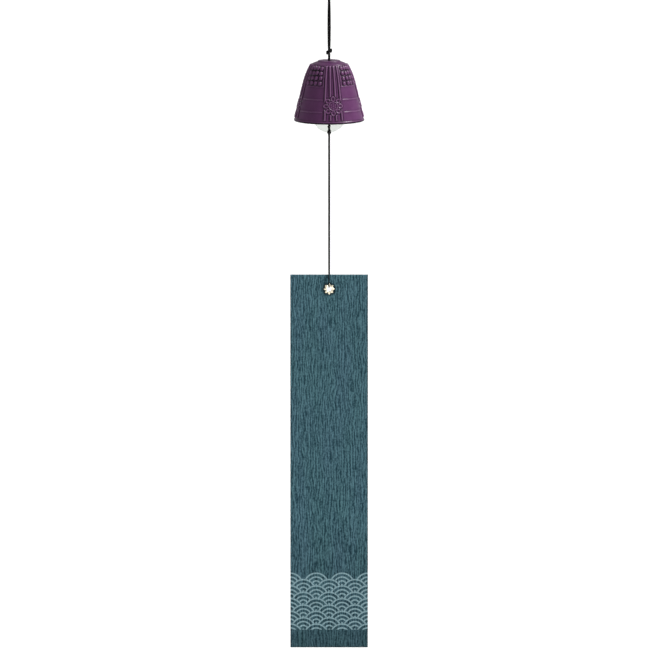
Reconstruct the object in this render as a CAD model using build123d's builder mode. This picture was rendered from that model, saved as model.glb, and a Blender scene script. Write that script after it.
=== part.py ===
from build123d import *
import math
import os

# Furin wind bell: a cast temple-bell shape on a knotted cord, with a disc clapper and a paper strip.
# Millimetres, +Z up, usual view from -Y. The origin is where a hook bears inside the hanging eye.

# Clearance between pieces that turn or swing on each other, and between pressed pieces
clearance = 0.2
fit_clearance = 0.03
# Length by which a pattern solid runs past the surface that trims it
overrun = 2.0

# Black hanging cord, doubled from the eye to the clapper
cord_diameter = 1.3
eye_width = 6.0
eye_length = 18.0
eye_side = 5.5
throat_gap = 0.7
strand_run = 44.4
upper_knot_diameter = 4.7
knot_to_crown = 6.4
stop_knot_diameter = 6.0

# Cast bell: heights are above the rim
rim_diameter = 54.2
bell_height = 46.7
wall = 2.5
crown_thickness = 3.4
crown_hole_diameter = 4.0
flank_taper = 14.1
flank_height = 30.0
shoulder_bend = 53.0
shoulder_height = 42.6
cap_radius = 13.0
cap_height = 44.2
cap_step = 0.3
crown_radius = 8.6
crown_step = 0.5
lip_chamfer = 0.4
inner_round = 3.0

# Relief cast on the bell: four rib bands, each with a lotus, and between them four panels with
# bosses and raised lines
bands = 4
front_band_turn = 6.7
rib_count = 4
rib_pitch = 9.6
rib_width = 1.1
rib_rise = 0.4
upper_rib_foot = 16.5
lower_rib_foot = 2.2
lower_rib_top = 11.2
line_width = 0.8
line_rise = 0.35
belt_heights = (9.3, 18.8)
panel_foot = 28.7
panel_span = 56.0
boss_rows = 4
boss_columns = 4
boss_pitch = 13.0
boss_foot_gap = 1.1
boss_diameter = 2.4
boss_height = 1.1
boss_sides = 8
boss_top_share = 0.6
lotus_height = 14.1
lotus_petals = 8
petal_orbit = 5.0
petal_length = 4.6
petal_width = 3.6
petal_waist_share = 0.1
petal_rise = 0.6
lotus_core_diameter = 5.8
lotus_core_rise = 0.9

# Clapper disc, hung on edge in the bell's mouth
disc_diameter = 26.0
disc_thickness = 2.0
disc_edge_bevel = 0.4
disc_below_rim = 9.2
hole_diameter = 3.0
top_hole_inset = 4.2
foot_hole_inset = 6.6

# Thin strip cord, doubled from the disc to the eyelet
thin_diameter = 0.7
hitch_knot_diameter = 2.1
strip_cord_run = 119.5
turn_height = 20.0

# Paper strip and its brass eyelet
strip_width = 60.0
strip_length = 292.0
strip_thickness = 0.5
eyelet_from_top = 11.3
eyelet_bore = 3.8
eyelet_sheet = 0.25
eyelet_flange_diameter = 6.6
collar_width = 0.6
collar_taper = 14.0
petal_count = 8
star_diameter = 8.2
star_root_width = 1.5
star_tip_share = 0.35
star_rise = 0.45

# Largest bend that two runs of a route allow, as a share of the shorter run
bend_share = 0.45
# A knot's waist and its flat ends, as shares of its radius
knot_waist_share = 0.9
knot_end_share = 0.4

# Heights from the origin down
cord_radius = cord_diameter / 2
thin_radius = thin_diameter / 2
strand_offset = cord_radius + clearance / 4
thin_offset = thin_radius + clearance / 4
throat_z = -eye_length
upper_knot_z = throat_z - strand_run
crown_z = upper_knot_z - knot_to_crown
rim_z = crown_z - bell_height
crown_inside_z = crown_z - crown_thickness
stop_knot_radius = stop_knot_diameter / 2
stop_reach = stop_knot_radius + clearance
stop_knot_z = crown_inside_z - math.sqrt(stop_reach**2 - (crown_hole_diameter / 2) ** 2)
disc_z = rim_z - disc_below_rim + disc_diameter / 2
hitch_knot_z = rim_z - disc_below_rim - clearance - hitch_knot_diameter / 2
thread_z = hitch_knot_z - strip_cord_run

# The cords' threads bear near the edge of the hole that they pass through
top_hole_z = disc_z + disc_diameter / 2 - top_hole_inset
foot_hole_z = disc_z - disc_diameter / 2 + foot_hole_inset
loop_top_z = stop_knot_z - stop_reach
hitch_gap = disc_thickness / 2 + clearance + thin_radius


def taut_gap(edge_gap, start_gap, edge_height, start_height):
    """Half gap of two taut strands at their thread, when they clear an edge above it on their way."""
    return edge_gap + (edge_gap - start_gap) * edge_height / (start_height - edge_height)


disc_gap = taut_gap(
    disc_thickness / 2 + clearance + cord_radius,
    strand_offset,
    top_hole_inset,
    loop_top_z - top_hole_z,
)
eyelet_gap = taut_gap(
    strip_thickness / 2 + star_rise + clearance + thin_radius,
    thin_offset,
    star_diameter / 2,
    eyelet_from_top + turn_height,
)


def bend_rise(half_gap, half_thickness):
    """How far a thread through a hole has bent towards its strands at the faces of the sheet."""
    bend = 2 * bend_share * half_gap
    return bend - math.sqrt(bend**2 - (half_thickness - half_gap + bend) ** 2)


def thread_seat(hole_radius, thread_radius, half_gap, half_thickness):
    """Distance from a hole's centre to the thread that bears towards its edge."""
    return hole_radius - clearance - thread_radius - bend_rise(half_gap, half_thickness)


hole_radius = hole_diameter / 2
top_thread_z = top_hole_z + thread_seat(
    hole_radius, cord_radius, disc_gap, disc_thickness / 2
)
hitch_thread_z = foot_hole_z - thread_seat(
    hole_radius, thin_radius, hitch_gap, disc_thickness / 2
)
eyelet_z = thread_z - thread_seat(
    eyelet_bore / 2, thin_radius, eyelet_gap, strip_thickness / 2 + star_rise
)
strip_top_z = eyelet_z + eyelet_from_top
turn_z = strip_top_z + turn_height

# Plane of a half section through the bell's axis: x is the radius, y the height above the rim
section_plane = Plane(origin=(0, 0, rim_z), x_dir=(1, 0, 0), z_dir=(0, -1, 0))
# Plane through the axis and the line of sight: x is the depth, y the height
side_plane = Plane(origin=(0, 0, 0), x_dir=(0, 1, 0), z_dir=(1, 0, 0))
first_band = front_band_turn - 90
band_pitch = 360 / bands

taper = math.radians(flank_taper)
flank_top_radius = rim_diameter / 2 - flank_height * math.tan(taper)
bend_centre_radius = flank_top_radius - shoulder_bend * math.cos(taper)
bend_centre_height = flank_height - shoulder_bend * math.sin(taper)


def flank_end(inset):
    """Height at which the straight flank, that far inside the surface, runs into the shoulder's bend."""
    return flank_height - inset * math.sin(taper)


def flank_point(height, inset=0):
    """Radius and height of the bell's flank, that far inside its surface."""
    if height <= flank_end(inset):
        radius = rim_diameter / 2 - height * math.tan(taper) - inset / math.cos(taper)
        return (radius, height)
    bend = shoulder_bend - inset
    rise = height - bend_centre_height
    return (bend_centre_radius + math.sqrt(bend**2 - rise**2), height)


def flank_tilt(height):
    """Angle in degrees by which the flank's outward normal points up."""
    if height <= flank_height:
        return flank_taper
    return math.degrees(math.asin((height - bend_centre_height) / shoulder_bend))


def flank_lines(low, high, inset=0):
    """Draw the flank from one height to another: the straight part, then the shoulder's bend."""
    end = flank_end(inset)
    if low < end:
        Line(flank_point(low, inset), flank_point(min(end, high), inset))
    if high > end:
        start = max(low, end)
        middle = (start + high) / 2
        ThreePointArc(
            flank_point(start, inset), flank_point(middle, inset), flank_point(high, inset)
        )


def flank_plane(height, turn, inset=0):
    """Plane on the flank at a height and a turn about the bell's axis, facing outwards."""
    radius, rise = flank_point(height, inset)
    tilt = math.radians(flank_tilt(height))
    angle = math.radians(turn)
    outward = (math.cos(tilt) * math.cos(angle), math.cos(tilt) * math.sin(angle), math.sin(tilt))
    along = (-math.sin(angle), math.cos(angle), 0)
    place = (radius * math.cos(angle), radius * math.sin(angle), rim_z + rise)
    return Plane(origin=place, x_dir=along, z_dir=outward)


def bend_radii(points):
    """Radius of the bend at each corner of a cord's route, as large as the two runs allow."""
    corners = [Vector(*p) for p in points]
    radii = []
    for before, corner, after in zip(corners, corners[1:], corners[2:]):
        run = min((corner - before).length, (after - corner).length)
        turn = math.radians((corner - before).get_angle(after - corner))
        radii.append(bend_share * run / math.tan(turn / 2))
    return radii


def tied_knot(diameter, height):
    """A tied knot as a waisted barrel that fits in a ball of its diameter."""
    radius = diameter / 2
    end = radius * knot_end_share
    crest = radius * math.sqrt(1 - knot_end_share**2)
    with BuildPart() as knot:
        with BuildSketch(Plane(origin=(0, 0, height), x_dir=(1, 0, 0), z_dir=(0, -1, 0))):
            with BuildLine():
                Polyline(
                    (0, -crest),
                    (end, -crest),
                    (crest, -end),
                    (crest * knot_waist_share, 0),
                    (crest, end),
                    (end, crest),
                    (0, crest),
                    close=True,
                )
            make_face()
        revolve(axis=Axis.Z)
    return knot.part


os.makedirs("parts", exist_ok=True)
routes = {}


# Hanging eye: the cord's bend over the hook
eye_half = eye_width / 2 + cord_radius
routes["hanging_eye"] = [
    (-strand_offset, throat_z + throat_gap / 2),
    (-eye_half, cord_radius - eye_side),
    (-eye_half, cord_radius),
    (eye_half, cord_radius),
    (eye_half, cord_radius - eye_side),
    (strand_offset, throat_z + throat_gap / 2),
]
with BuildPart() as hanging_eye:
    with BuildLine(side_plane) as eye_line:
        FilletPolyline(*routes["hanging_eye"], radius=bend_radii(routes["hanging_eye"]))
    with BuildSketch(Plane(origin=eye_line.wire() @ 0, z_dir=eye_line.wire() % 0)):
        Circle(cord_radius)
    sweep()
hanging_eye.part.label = "hanging_eye"
export_step(hanging_eye.part, "parts/hanging_eye.step")

# The two strands from the eye's throat to the upper knot
strand_top_z = throat_z - throat_gap / 2
strand_foot_z = upper_knot_z + upper_knot_diameter / 2 + clearance
for side, name in ((-1, "hanging_strand_front"), (1, "hanging_strand_back")):
    with BuildPart() as hanging_strand:
        with BuildSketch(Plane.XY.offset(strand_foot_z)):
            with Locations((0, side * strand_offset)):
                Circle(cord_radius)
        extrude(amount=strand_top_z - strand_foot_z)
    hanging_strand.part.label = name
    export_step(hanging_strand.part, f"parts/{name}.step")

# Upper knot, and the strands from it through the crown
with BuildPart() as upper_knot:
    add(tied_knot(upper_knot_diameter, upper_knot_z))
upper_knot.part.label = "upper_knot"
export_step(upper_knot.part, "parts/upper_knot.step")

neck_top_z = upper_knot_z - upper_knot_diameter / 2 - fit_clearance
neck_foot_z = stop_knot_z + stop_reach
for side, name in ((-1, "neck_strand_front"), (1, "neck_strand_back")):
    with BuildPart() as neck_strand:
        with BuildSketch(Plane.XY.offset(neck_foot_z)):
            with Locations((0, side * strand_offset)):
                Circle(cord_radius)
        extrude(amount=neck_top_z - neck_foot_z)
    neck_strand.part.label = name
    export_step(neck_strand.part, f"parts/{name}.step")

# Stop knot that carries the bell, drawn up into the crown's hole
with BuildPart() as stop_knot:
    add(tied_knot(stop_knot_diameter, stop_knot_z))
stop_knot.part.label = "stop_knot"
export_step(stop_knot.part, "parts/stop_knot.step")


def relief_outline(low, high, rise):
    """Draw the section of relief that stands out of the flank by its rise, rooted in mid-wall."""
    flank_lines(low, high, -rise)
    Line(flank_point(high, -rise), flank_point(high, wall / 2))
    flank_lines(low, high, wall / 2)
    Line(flank_point(low, wall / 2), flank_point(low, -rise))


# One raised rib down a meridian of the bell
def meridian_rib(low, high):
    with BuildPart() as rib:
        with BuildSketch(section_plane):
            with BuildLine():
                relief_outline(low, high, rib_rise)
            make_face()
        extrude(amount=rib_width / 2, both=True)
    return rib.part


# A raised line round the bell at one height, through an angle about its axis
def raised_line(height, span):
    with BuildPart() as line:
        with BuildSketch(section_plane):
            with BuildLine():
                relief_outline(height - line_width / 2, height + line_width / 2, line_rise)
            make_face()
        revolve(axis=Axis.Z, revolution_arc=span)
    return line.part


# Lotus: pointed petals that follow the flank's curve, round a round core
def lotus(turn):
    plane = flank_plane(lotus_height, turn)
    reach = petal_orbit + petal_length
    with BuildPart() as flower:
        with BuildSketch(plane):
            with PolarLocations(petal_orbit, lotus_petals):
                Polygon(
                    (-petal_length / 2, 0),
                    (petal_length * petal_waist_share, -petal_width / 2),
                    (petal_length / 2, 0),
                    (petal_length * petal_waist_share, petal_width / 2),
                    align=None,
                )
        extrude(amount=overrun, both=True)
        with BuildSketch(section_plane):
            with BuildLine():
                relief_outline(lotus_height - reach, lotus_height + reach, petal_rise)
            make_face()
        revolve(axis=Axis.Z, mode=Mode.INTERSECT)
        with BuildSketch(plane.offset(-wall / 2)):
            Circle(lotus_core_diameter / 2)
        extrude(amount=wall / 2 + lotus_core_rise)
    return flower.part


# One stud of a boss panel, standing on the wall's middle
with BuildPart() as boss:
    with BuildSketch(Plane.XY):
        RegularPolygon(boss_diameter / 2, boss_sides)
    with BuildSketch(Plane.XY.offset(wall / 2 + boss_height)):
        RegularPolygon(boss_diameter / 2 * boss_top_share, boss_sides)
    loft()

upper_rib = meridian_rib(upper_rib_foot, shoulder_height)
lower_rib = meridian_rib(lower_rib_foot, lower_rib_top)
panel_lines = [raised_line(height, panel_span) for height in (*belt_heights, panel_foot)]
rib_turns = [
    first_band + band * band_pitch + (rib - (rib_count - 1) / 2) * rib_pitch
    for band in range(bands)
    for rib in range(rib_count)
]
boss_places = [
    flank_plane(
        panel_foot + boss_foot_gap + (row + 1 / 2) * (shoulder_height - panel_foot) / boss_rows,
        first_band + (band + 1 / 2) * band_pitch + (column - (boss_columns - 1) / 2) * boss_pitch,
        wall / 2,
    )
    for band in range(bands)
    for row in range(boss_rows)
    for column in range(boss_columns)
]

with BuildPart() as bell:
    with BuildSketch(section_plane):
        with BuildLine():
            flank_lines(lip_chamfer, shoulder_height)
            shoulder = flank_point(shoulder_height)
            slope = math.radians(flank_tilt(shoulder_height))
            TangentArc(
                shoulder, (cap_radius, cap_height), tangent=(-math.sin(slope), math.cos(slope))
            )
            Polyline(
                (cap_radius, cap_height),
                (cap_radius, cap_height + cap_step),
                (crown_radius, bell_height - crown_step),
                (crown_radius, bell_height),
                (0, bell_height),
                (0, 0),
                (flank_point(0)[0] - lip_chamfer, 0),
                flank_point(lip_chamfer),
            )
        make_face()
        with BuildLine():
            inside_height = bell_height - crown_thickness
            flank_lines(0, inside_height, wall)
            Polyline(
                flank_point(inside_height, wall), (0, inside_height), (0, 0), flank_point(0, wall)
            )
        make_face(mode=Mode.SUBTRACT)
    revolve(axis=Axis.Z)
    inner_corner = bell.edges().filter_by(GeomType.CIRCLE).filter_by(
        lambda e: abs((e @ 0).Z - crown_inside_z) < clearance
    )
    fillet(inner_corner, inner_round)
    for turn in rib_turns:
        add(upper_rib.rotate(Axis.Z, turn))
        add(lower_rib.rotate(Axis.Z, turn))
    for band in range(bands):
        middle = first_band + (band + 1 / 2) * band_pitch
        for line in panel_lines:
            add(line.rotate(Axis.Z, middle - panel_span / 2))
        add(lotus(first_band + band * band_pitch))
    with Locations(*boss_places):
        add(boss.part)
    with Locations((0, 0, crown_z)):
        Hole(crown_hole_diameter / 2, depth=crown_thickness)
bell.part.label = "bell"
export_step(bell.part, "parts/bell.step")

# Clapper disc with a hole near its top and one near its foot
disc_plane = Plane(origin=(0, 0, disc_z), x_dir=(1, 0, 0), z_dir=(0, -1, 0))
with BuildPart() as clapper_disc:
    with BuildSketch(disc_plane):
        Circle(disc_diameter / 2)
        with Locations((0, top_hole_z - disc_z), (0, foot_hole_z - disc_z)):
            Circle(hole_radius, mode=Mode.SUBTRACT)
    extrude(amount=disc_thickness / 2, both=True)
    rims = clapper_disc.edges().filter_by(GeomType.CIRCLE).filter_by(lambda e: e.radius > hole_diameter)
    chamfer(rims, disc_edge_bevel)
clapper_disc.part.label = "clapper_disc"
export_step(clapper_disc.part, "parts/clapper_disc.step")

# The hanging cord's lower bend, through the disc's top hole
routes["clapper_loop"] = [
    (-strand_offset, loop_top_z),
    (-disc_gap, top_thread_z),
    (disc_gap, top_thread_z),
    (strand_offset, loop_top_z),
]
with BuildPart() as clapper_loop:
    with BuildLine(side_plane) as clapper_line:
        FilletPolyline(*routes["clapper_loop"], radius=bend_radii(routes["clapper_loop"]))
    with BuildSketch(Plane(origin=clapper_line.wire() @ 0, z_dir=clapper_line.wire() % 0)):
        Circle(cord_radius)
    sweep()
clapper_loop.part.label = "clapper_loop"
export_step(clapper_loop.part, "parts/clapper_loop.step")

# The strip cord's hitch through the disc's lower hole, and the knot under its edge
routes["disc_hitch"] = [
    (-hitch_gap, hitch_knot_z + thin_radius),
    (-hitch_gap, hitch_thread_z),
    (hitch_gap, hitch_thread_z),
    (hitch_gap, hitch_knot_z + thin_radius),
]
with BuildPart() as disc_hitch:
    with BuildLine(side_plane) as hitch_line:
        FilletPolyline(*routes["disc_hitch"], radius=bend_radii(routes["disc_hitch"]))
    with BuildSketch(Plane(origin=hitch_line.wire() @ 0, z_dir=hitch_line.wire() % 0)):
        Circle(thin_radius)
    sweep()
disc_hitch.part.label = "disc_hitch"
export_step(disc_hitch.part, "parts/disc_hitch.step")

with BuildPart() as hitch_knot:
    add(tied_knot(hitch_knot_diameter, hitch_knot_z))
hitch_knot.part.label = "hitch_knot"
export_step(hitch_knot.part, "parts/hitch_knot.step")

# The two long strands from the hitch to just above the strip
thin_top_z = hitch_knot_z - hitch_knot_diameter / 2 - clearance
for side, name in ((-1, "strip_strand_front"), (1, "strip_strand_back")):
    with BuildPart() as strip_strand:
        with BuildSketch(Plane.XY.offset(turn_z)):
            with Locations((0, side * thin_offset)):
                Circle(thin_radius)
        extrude(amount=thin_top_z - turn_z)
    strip_strand.part.label = name
    export_step(strip_strand.part, f"parts/{name}.step")

# The strip cord's lower bend, through the eyelet
loop_start_z = turn_z - fit_clearance
routes["eyelet_loop"] = [
    (-thin_offset, loop_start_z),
    (-eyelet_gap, thread_z),
    (eyelet_gap, thread_z),
    (thin_offset, loop_start_z),
]
with BuildPart() as eyelet_loop:
    with BuildLine(side_plane) as eyelet_line:
        FilletPolyline(*routes["eyelet_loop"], radius=bend_radii(routes["eyelet_loop"]))
    with BuildSketch(Plane(origin=eyelet_line.wire() @ 0, z_dir=eyelet_line.wire() % 0)):
        Circle(thin_radius)
    sweep()
eyelet_loop.part.label = "eyelet_loop"
export_step(eyelet_loop.part, "parts/eyelet_loop.step")

# Paper strip, with the hole that the eyelet is set in
barrel_radius = eyelet_bore / 2 + eyelet_sheet
eyelet_plane = Plane(origin=(0, 0, eyelet_z), x_dir=(1, 0, 0), z_dir=(0, -1, 0))
with BuildPart() as strip:
    with BuildSketch(eyelet_plane):
        with Locations((0, eyelet_from_top)):
            Rectangle(strip_width, strip_length, align=(Align.CENTER, Align.MAX))
        Circle(barrel_radius + fit_clearance, mode=Mode.SUBTRACT)
    extrude(amount=strip_thickness / 2, both=True)
strip.part.label = "strip"
export_step(strip.part, "parts/strip.step")

# Brass eyelet: barrel, turned flange at the back, and the split end curled out as a star in front
with BuildPart() as eyelet:
    with BuildSketch(eyelet_plane.offset(-strip_thickness / 2 - eyelet_sheet)):
        Circle(eyelet_flange_diameter / 2)
    extrude(amount=eyelet_sheet)
    with BuildSketch(eyelet_plane.offset(-strip_thickness / 2)):
        Circle(barrel_radius)
    extrude(amount=strip_thickness)
    with BuildSketch(eyelet_plane.offset(strip_thickness / 2)):
        Circle(barrel_radius + collar_width)
    extrude(amount=star_rise, taper=collar_taper)
    with BuildSketch(eyelet_plane.offset(strip_thickness / 2)):
        half_root, half_tip = star_root_width / 2, star_root_width / 2 * star_tip_share
        with PolarLocations(0, petal_count):
            Polygon(
                (0, -half_root),
                (barrel_radius, -half_root),
                (star_diameter / 2, -half_tip),
                (star_diameter / 2, half_tip),
                (barrel_radius, half_root),
                (0, half_root),
                align=None,
            )
    extrude(amount=eyelet_sheet)
    with Locations(eyelet_plane):
        Cylinder(eyelet_bore / 2, strip_thickness + 2 * overrun, mode=Mode.SUBTRACT)
eyelet.part.label = "eyelet"
export_step(eyelet.part, "parts/eyelet.step")

for name, route in routes.items():
    print(name, "bend radii", [round(r, 2) for r in bend_radii(route)])
print("rim", round(rim_z, 2), "disc", round(disc_z, 2), "strip top", round(strip_top_z, 2))
print("foot", round(strip_top_z - strip_length, 2))
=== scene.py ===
# %% [markdown]
# # A wind bell, dressed piece by piece
# The solids of the wind bell come in as a fixed frame, in metres, with +Z up and the usual view from -Y.
# Every piece made here takes its place from that frame, and all but the hanging cord and the strip cord
# ride on one of its bodies, so that they still move as the real bell does.

# %% Load the frame
import math

import bmesh
import bpy
import numpy as np
from mathutils import Matrix, Vector


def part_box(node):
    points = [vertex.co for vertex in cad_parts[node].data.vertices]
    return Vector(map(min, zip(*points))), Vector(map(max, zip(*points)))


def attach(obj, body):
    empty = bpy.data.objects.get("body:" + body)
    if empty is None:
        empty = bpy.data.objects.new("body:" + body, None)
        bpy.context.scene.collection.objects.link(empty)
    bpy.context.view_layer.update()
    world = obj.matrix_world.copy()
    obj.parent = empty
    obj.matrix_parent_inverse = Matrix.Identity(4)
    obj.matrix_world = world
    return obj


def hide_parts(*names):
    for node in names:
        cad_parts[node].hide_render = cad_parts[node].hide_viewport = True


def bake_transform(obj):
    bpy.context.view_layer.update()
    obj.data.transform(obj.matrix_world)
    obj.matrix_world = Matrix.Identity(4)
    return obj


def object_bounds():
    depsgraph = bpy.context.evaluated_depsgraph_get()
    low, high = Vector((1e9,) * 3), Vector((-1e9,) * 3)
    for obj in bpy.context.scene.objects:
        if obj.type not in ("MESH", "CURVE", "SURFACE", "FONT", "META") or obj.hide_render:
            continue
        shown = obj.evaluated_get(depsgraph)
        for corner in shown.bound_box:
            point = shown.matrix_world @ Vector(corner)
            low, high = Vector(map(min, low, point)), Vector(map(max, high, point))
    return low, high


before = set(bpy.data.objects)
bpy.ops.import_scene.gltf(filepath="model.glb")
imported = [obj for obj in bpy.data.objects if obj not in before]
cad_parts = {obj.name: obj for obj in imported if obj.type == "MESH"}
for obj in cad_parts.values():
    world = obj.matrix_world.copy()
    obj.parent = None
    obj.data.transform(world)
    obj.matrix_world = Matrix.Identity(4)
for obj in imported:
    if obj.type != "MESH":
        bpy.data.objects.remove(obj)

mm = 0.001
cad_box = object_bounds()
print("CAD box", [tuple(round(c, 4) for c in corner) for corner in cad_box])

# %% [markdown]
# ## Camera
# The photograph was taken from a little above with a long lens: the strip keeps its width from top to
# foot, and the bell's rim shows as a flat ellipse. A far camera with a long focal length does the same.
# It looks at the point of the axis that is in the middle of the picture.

# %% Set the camera
view_tilt = math.radians(8)
view_distance = 10
picture_width = 0.5085
view_centre = Vector((-0.0001, 0, -0.2806))

camera_data = bpy.data.cameras.new("camera")
camera_data.sensor_fit = "HORIZONTAL"
camera_data.lens = camera_data.sensor_width * view_distance / picture_width
camera = bpy.data.objects.new("camera", camera_data)
camera.location = view_centre + view_distance * Vector((0, -math.cos(view_tilt), math.sin(view_tilt)))
camera.rotation_euler = (math.pi / 2 - view_tilt, 0, 0)
bpy.context.collection.objects.link(camera)
bpy.context.scene.camera = camera
print("lens", round(camera_data.lens), "mm")

# %% [markdown]
# ## Studio
# The bell hangs before plain white paper. One wide pale floor under it fills the whole picture, because
# the camera looks down a little. It glows a little, as paper lit from behind does, and throws no light
# back on the bell. A broad soft light from the right models the ribs, and a dim white surround keeps the
# left side from going black. A second lamp, higher up, is there for the highlights alone: the first light
# doesn't show in the gloss and the second shows only there, so that each can be set by itself.

# %% Lay the floor
def link(name, data):
    piece = bpy.data.objects.new(name, data)
    bpy.context.collection.objects.link(piece)
    return piece


def new_finish(name):
    """A material with its principled shader, its nodes and its links."""
    material = bpy.data.materials.new(name)
    material.use_nodes = True
    tree = material.node_tree
    return material, tree.nodes["Principled BSDF"], tree.nodes, tree.links


floor_size = 60
floor_drop = 0.3
floor_z = cad_box[0][2] - floor_drop
floor_mesh = bpy.data.meshes.new("floor")
floor_mesh.from_pydata(
    [(x * floor_size, y * floor_size, floor_z) for x, y in ((-1, -1), (1, -1), (1, 1), (-1, 1))],
    [],
    [(0, 1, 2, 3)],
)
floor = link("floor", floor_mesh)
paper_white, shader, nodes, links = new_finish("studio_paper")
shader.inputs["Base Color"].default_value = (0.93, 0.93, 0.93, 1)
shader.inputs["Roughness"].default_value = 0.9
shader.inputs["Emission Color"].default_value = (1, 1, 1, 1)
shader.inputs["Emission Strength"].default_value = 0.25
floor_mesh.materials.append(paper_white)
floor.visible_diffuse = False
print("floor at", round(floor_z, 3))

# %% Set the lights
world = bpy.data.worlds.new("studio")
world.use_nodes = True
world.node_tree.nodes["Background"].inputs["Color"].default_value = (1, 1, 1, 1)
world.node_tree.nodes["Background"].inputs["Strength"].default_value = 0.46
bpy.context.scene.world = world
bpy.context.scene.view_settings.view_transform = "Standard"


def sun_light(name, energy, softness, direction):
    """A far light along a direction, that many degrees wide."""
    data = bpy.data.lights.new(name, "SUN")
    data.energy = energy
    data.angle = math.radians(softness)
    light = link(name, data)
    light.rotation_euler = direction.to_track_quat("-Z", "Y").to_euler()
    return light


window_light = sun_light("window_light", 3.4, 25, Vector((-0.90, 0.29, -0.52)))
window_light.visible_glossy = False
upper_lamp = sun_light("upper_lamp", 5.5, 15, Vector((-0.64, 0.06, -0.77)))
upper_lamp.visible_diffuse = False
print("lights", window_light.name, upper_lamp.name)

# %% [markdown]
# ## How a cord is made
# A cord's route is a short list of points, and the cord itself runs on a smooth NURBS line through them.
# A round tube would look like wire, so the skin of each cord goes in and out a little round the line:
# diamonds for the black braid, three spiral plies for the thin twisted cord.

# %% Read a smooth line from a route
def cord_line(route, step):
    """Points along the smooth line of a route, at least a step apart."""
    curve = bpy.data.curves.new("route", "CURVE")
    curve.dimensions = "3D"
    spline = curve.splines.new("NURBS")
    spline.points.add(len(route) - 1)
    for point, place in zip(spline.points, route):
        point.co = (*place, 1)
    spline.order_u = 3
    spline.use_endpoint_u = True
    spline.resolution_u = 200
    carrier = link("route", curve)
    read = bpy.data.meshes.new_from_object(carrier)
    points = [v.co.copy() for v in read.vertices]
    bpy.data.objects.remove(carrier)
    bpy.data.meshes.remove(read)
    kept = [points[0]]
    for point in points[1:-1]:
        if (point - kept[-1]).length >= step and (point - points[-1]).length >= step:
            kept.append(point)
    return kept + [points[-1]]


def line_length(line):
    return sum((b - a).length for a, b in zip(line, line[1:]))


plumb_line = cord_line([(0, 0, 0), (0, 0, -0.5), (0, 0, -1)], 0.1)
print("a straight route of 1 m reads as", round(line_length(plumb_line), 3), "m")

# %% Lay a skin round the line
cord_sides = 16


def cord_skin(name, line, radius, relief, sides=cord_sides):
    """A closed tube round a line; relief(turn, length) is the share of the radius that the skin goes in."""
    places, faces = [], []
    normal, run = None, 0
    for k, here in enumerate(line):
        ahead = (line[min(k + 1, len(line) - 1)] - line[max(k - 1, 0)]).normalized()
        if normal is None:
            normal = ahead.orthogonal()
        normal = (normal - ahead * normal.dot(ahead)).normalized()
        across = ahead.cross(normal)
        run += (here - line[k - 1]).length if k else 0
        for side in range(sides):
            turn = 2 * math.pi * side / sides
            reach = radius * (1 - relief(turn, run))
            places.append(here + reach * (math.cos(turn) * normal + math.sin(turn) * across))
    for k in range(len(line) - 1):
        for side in range(sides):
            low, high = k * sides, (k + 1) * sides
            after = (side + 1) % sides
            faces.append((low + side, low + after, high + after, high + side))
    faces.append(tuple(reversed(range(sides))))
    faces.append(tuple(range((len(line) - 1) * sides, len(line) * sides)))
    mesh = bpy.data.meshes.new(name)
    mesh.from_pydata(places, [], faces)
    mesh.shade_smooth()
    return link(name, mesh)


print("a cord has", cord_sides, "sides")

# %% Give the skin a braid or a twist
braid_depth_share = 0.08
braid_middle_share = 0.4
ply_count = 3
ply_depth_share = 0.22
ply_swell_share = 0.12


def braid(pitch):
    """Diamonds of a round braid."""
    def relief(turn, run):
        wave = math.pi * run / pitch
        diamond = math.sin(2 * turn + wave) * math.sin(2 * turn - wave)
        return braid_depth_share * (braid_middle_share - diamond)
    return relief


def twist(pitch):
    """Spiral plies of a twisted cord."""
    def relief(turn, run):
        ply = abs(math.cos(ply_count / 2 * turn - math.pi * run / pitch))
        return ply_depth_share * (1 - ply) - ply_swell_share
    return relief


print("a braid goes in by", round(braid(1)(0, 0.5), 3), "of its radius")

# %% [markdown]
# ## Finish of the cords
# The hanging cord is a matt black braid, and the thin cord a dark brown-black twist. Both are fibre, so
# they get a sheen, a rough surface, and fine specks of lighter fibre from a fine noise.

# %% Make the cord finishes
def fibre_finish(name, dark, light, speck):
    material, shader, nodes, links = new_finish(name)
    place = nodes.new("ShaderNodeTexCoord")
    noise = nodes.new("ShaderNodeTexNoise")
    noise.inputs["Scale"].default_value = speck
    noise.inputs["Detail"].default_value = 6
    ramp = nodes.new("ShaderNodeValToRGB")
    ramp.color_ramp.elements[0].position = 0.35
    ramp.color_ramp.elements[0].color = (*dark, 1)
    ramp.color_ramp.elements[1].position = 0.75
    ramp.color_ramp.elements[1].color = (*light, 1)
    bump = nodes.new("ShaderNodeBump")
    bump.inputs["Strength"].default_value = 0.4
    bump.inputs["Distance"].default_value = 0.05 * mm
    links.new(place.outputs["Object"], noise.inputs["Vector"])
    links.new(noise.outputs["Fac"], ramp.inputs["Fac"])
    links.new(ramp.outputs["Color"], shader.inputs["Base Color"])
    links.new(noise.outputs["Fac"], bump.inputs["Height"])
    links.new(bump.outputs["Normal"], shader.inputs["Normal"])
    shader.inputs["Roughness"].default_value = 0.8
    shader.inputs["Specular IOR Level"].default_value = 0.12
    shader.inputs["Sheen Weight"].default_value = 0.03
    shader.inputs["Sheen Roughness"].default_value = 0.5
    return material


black_braid = fibre_finish("black_braid", (0.002, 0.002, 0.0022), (0.008, 0.008, 0.009), 6000)
dark_twist = fibre_finish("dark_twist", (0.002, 0.0018, 0.0018), (0.009, 0.008, 0.007), 8000)


def put(piece, finish):
    """Give a piece its finish."""
    piece.data.materials.append(finish)
    return piece


print("cord finishes", black_braid.name, dark_twist.name)

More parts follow.
